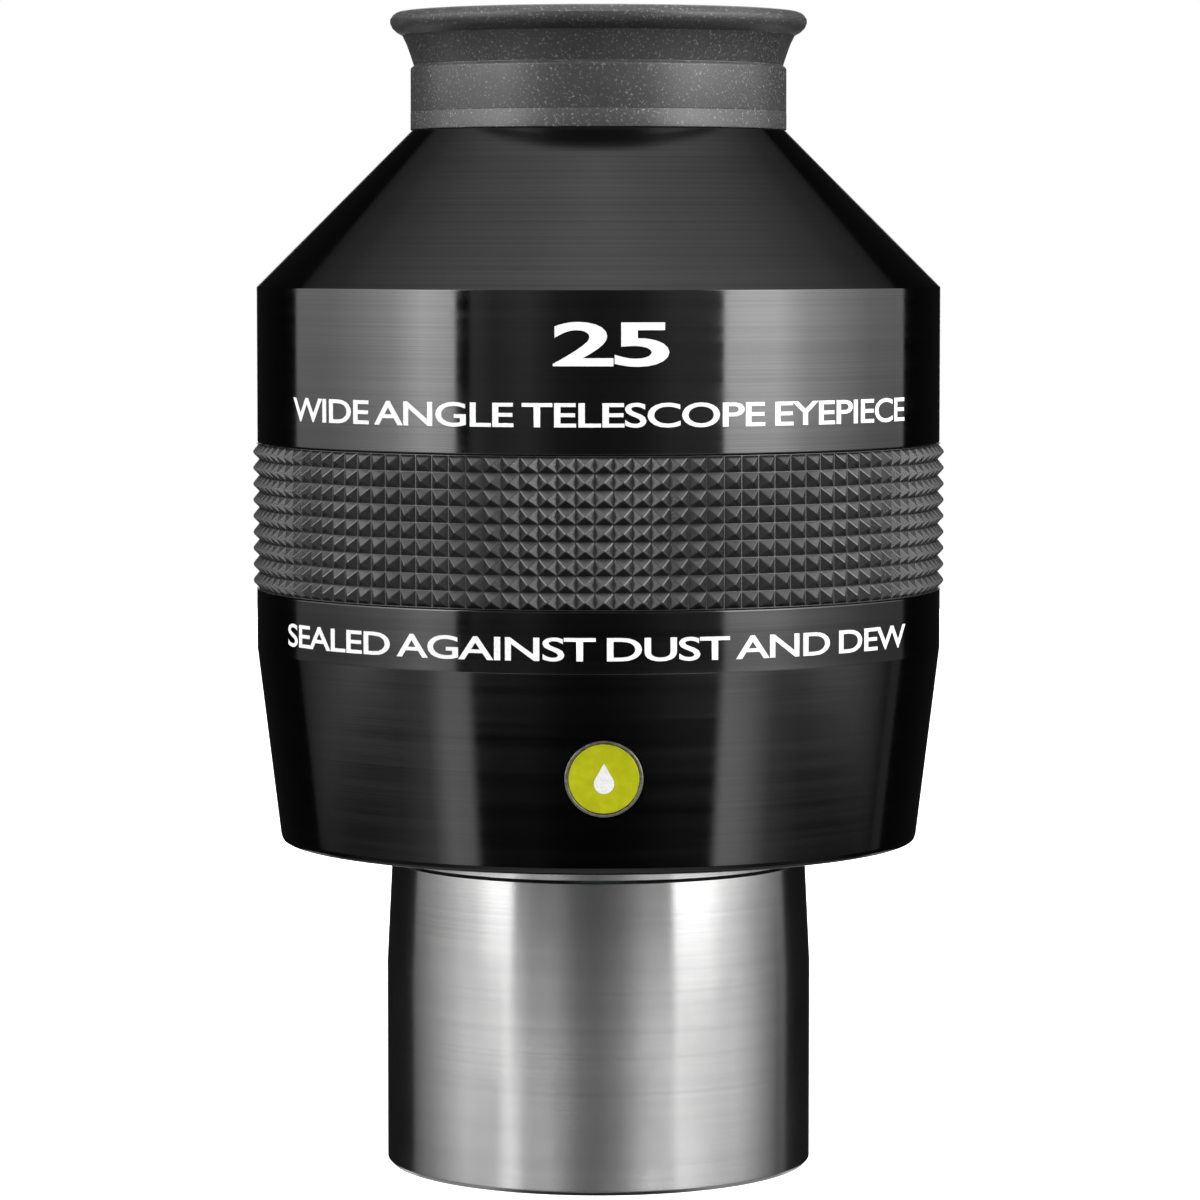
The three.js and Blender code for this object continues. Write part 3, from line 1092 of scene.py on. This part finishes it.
# The low light, which the tapered end of the body mirrors.
LOW_HEIGHTS = [(-0.38, 0.3), (-0.3, 1.0), (-0.22, 1.0)]
LEFT_LOW = [
    (-119, 0.02),
    (-100, 0.04),
    (-86, 0.09),
    (-72, 0.17),
    (-60, 0.42),
    (-53, 1.2),
    (-45, 1.1),
    (-42, 0.1),
]
RIGHT_LOW = [
    (40, 0.1),
    (43, 1.5),
    (50, 1.3),
    (62, 0.34),
    (74, 0.12),
    (88, 0.06),
    (103, 0.03),
    (121, 0.02),
]

# The light off the table, which the barrel mirrors.
TABLE_HEIGHTS = [(-0.21, 0.0), (-0.19, 1.0), (-0.1, 1.0), (-0.08, 0.0)]
TABLE_GLOW = [
    (-119, 0.1),
    (-98, 0.5),
    (-75, 1.2),
    (-56, 0.5),
    (-47, 1.9),
    (-43, 1.9),
    (-38, 1.4),
    (-27, 1.4),
    (-10, 0.55),
    (0, 0.5),
    (12, 0.9),
    (28, 2.1),
    (37, 2.1),
    (46, 0.8),
    (58, 0.8),
    (78, 1.1),
    (101, 0.4),
    (115, 0.05),
]

# Soft light from above, kept out of mirror reflections, so that it shows mostly on the rubber, the
# print and the label.
FILL_HEIGHTS = [(0.85, 1.0), (2.0, 1.0)]
FILLS = {
    "left_fill": [(-110, 7.8), (-36, 7.8)],
    "front_fill": [(-36, 4.6), (36, 4.6)],
    "right_fill": [(36, 11.0), (110, 11.0)],
}

# Lights behind the object, for views from the back.
BACK_LOW = [(123, 0.8), (237, 0.8)]
BACK_LOW_HEIGHTS = [(-0.7, 1.0), (-0.38, 0.7), (-0.33, 0.0)]
BACK_STRIP = [(169, 0.3), (176, 2.4), (184, 2.4), (191, 0.3)]
BACK_STRIP_HEIGHTS = [(-0.33, 0.3), (0.1, 1.0), (1.1, 1.0)]

# Flat round lights over and under the object, by distance from the axis.
CEILING_GLOW = [(0.0, 0.95), (0.32, 0.75), (0.63, 0.6), (1.0, 0.35), (1.42, 0.16), (2.1, 0.05)]
UNDER_GLOW = [(0.0, 0.02), (0.2, 0.03), (0.32, 0.35), (0.9, 0.3)]


def build_lights():
    panel("left_softbox", LEFT_SOFTBOX, PANEL_HEIGHTS)
    panel("right_softbox", RIGHT_SOFTBOX, PANEL_HEIGHTS)
    panel("front_glow", FRONT_GLOW, PANEL_HEIGHTS, distance=1.02)
    panel("left_low", LEFT_LOW, LOW_HEIGHTS, distance=0.98)
    panel("right_low", RIGHT_LOW, LOW_HEIGHTS, distance=0.98)
    panel("table_glow", TABLE_GLOW, TABLE_HEIGHTS, distance=0.99)
    disc_light("ceiling_glow", 1.3, CEILING_GLOW)
    for name, across in FILLS.items():
        fill = panel(name, across, FILL_HEIGHTS, distance=0.95)
        fill.visible_glossy = False
    back_low = panel("back_low", BACK_LOW, BACK_LOW_HEIGHTS)
    back_low.visible_diffuse = False
    panel("back_strip", BACK_STRIP, BACK_STRIP_HEIGHTS)
    under_glow = disc_light("under_glow", -0.5, UNDER_GLOW)
    under_glow.visible_diffuse = False


def build_world():
    """White to the camera, and nearly dark to everything else."""
    world = bpy.data.worlds.new("studio")
    bpy.context.scene.world = world
    world.use_nodes = True
    tree = world.node_tree
    tree.nodes.clear()
    out = tree.nodes.new("ShaderNodeOutputWorld")
    mix = tree.nodes.new("ShaderNodeMixShader")
    path = tree.nodes.new("ShaderNodeLightPath")
    tree.links.new(path.outputs["Is Camera Ray"], mix.inputs[0])
    for socket, strength in ((1, 0.01), (2, 1.0)):
        background = tree.nodes.new("ShaderNodeBackground")
        background.inputs["Color"].default_value = (1, 1, 1, 1)
        background.inputs["Strength"].default_value = strength
        tree.links.new(background.outputs[0], mix.inputs[socket])
    tree.links.new(mix.outputs[0], out.inputs[0])


def build_floor():
    """A pale disc, seen from above only, that the object stands on."""
    radius = 0.9
    steps = 96
    height = -0.02 * MM
    look = Shader("pale_floor", Base_Color=(*grey(0.9), 1), Roughness=0.9)
    look.set("Emission Color", (1, 1, 1, 1))
    look.set("Emission Strength", 0.7)
    clear = look.node("BsdfTransparent")
    side = look.node("NewGeometry").outputs["Backfacing"]
    mixed = look.node("MixShader", {0: side, 1: look.surface.outputs[0], 2: clear.outputs[0]})
    look.feed(look.tree.nodes["Material Output"].inputs["Surface"], mixed.outputs[0])
    angles = [2 * math.pi * i / steps for i in range(steps)]
    verts = [(radius * math.cos(angle), radius * math.sin(angle), height) for angle in angles]
    floor = stage_mesh("floor", verts, [tuple(range(steps))], look.material)
    floor.visible_glossy = False
    floor.visible_diffuse = False
    floor.visible_shadow = False


def build_camera():
    data = bpy.data.cameras.new("camera")
    data.lens = LENS
    data.sensor_width = SENSOR
    data.clip_start = 0.01
    data.clip_end = 50.0
    camera = bpy.data.objects.new("camera", data)
    bpy.context.scene.collection.objects.link(camera)
    camera.location = (0, -CAMERA_DISTANCE, CAMERA_HEIGHT)
    camera.rotation_euler = (math.radians(90 - CAMERA_DOWN), 0, math.radians(CAMERA_YAW))
    bpy.context.scene.camera = camera


# ---------- the scene ----------
dress_cad_nodes()
build_barrel()
build_lower_housing()
build_upper_housing()
build_grip()
build_eyecup()
build_optics()
build_eye_retainer()
build_plug()
build_label()
build_droplet()
build_print()
build_floor()
build_lights()
build_world()
build_camera()
bpy.context.scene.view_settings.view_transform = "Standard"
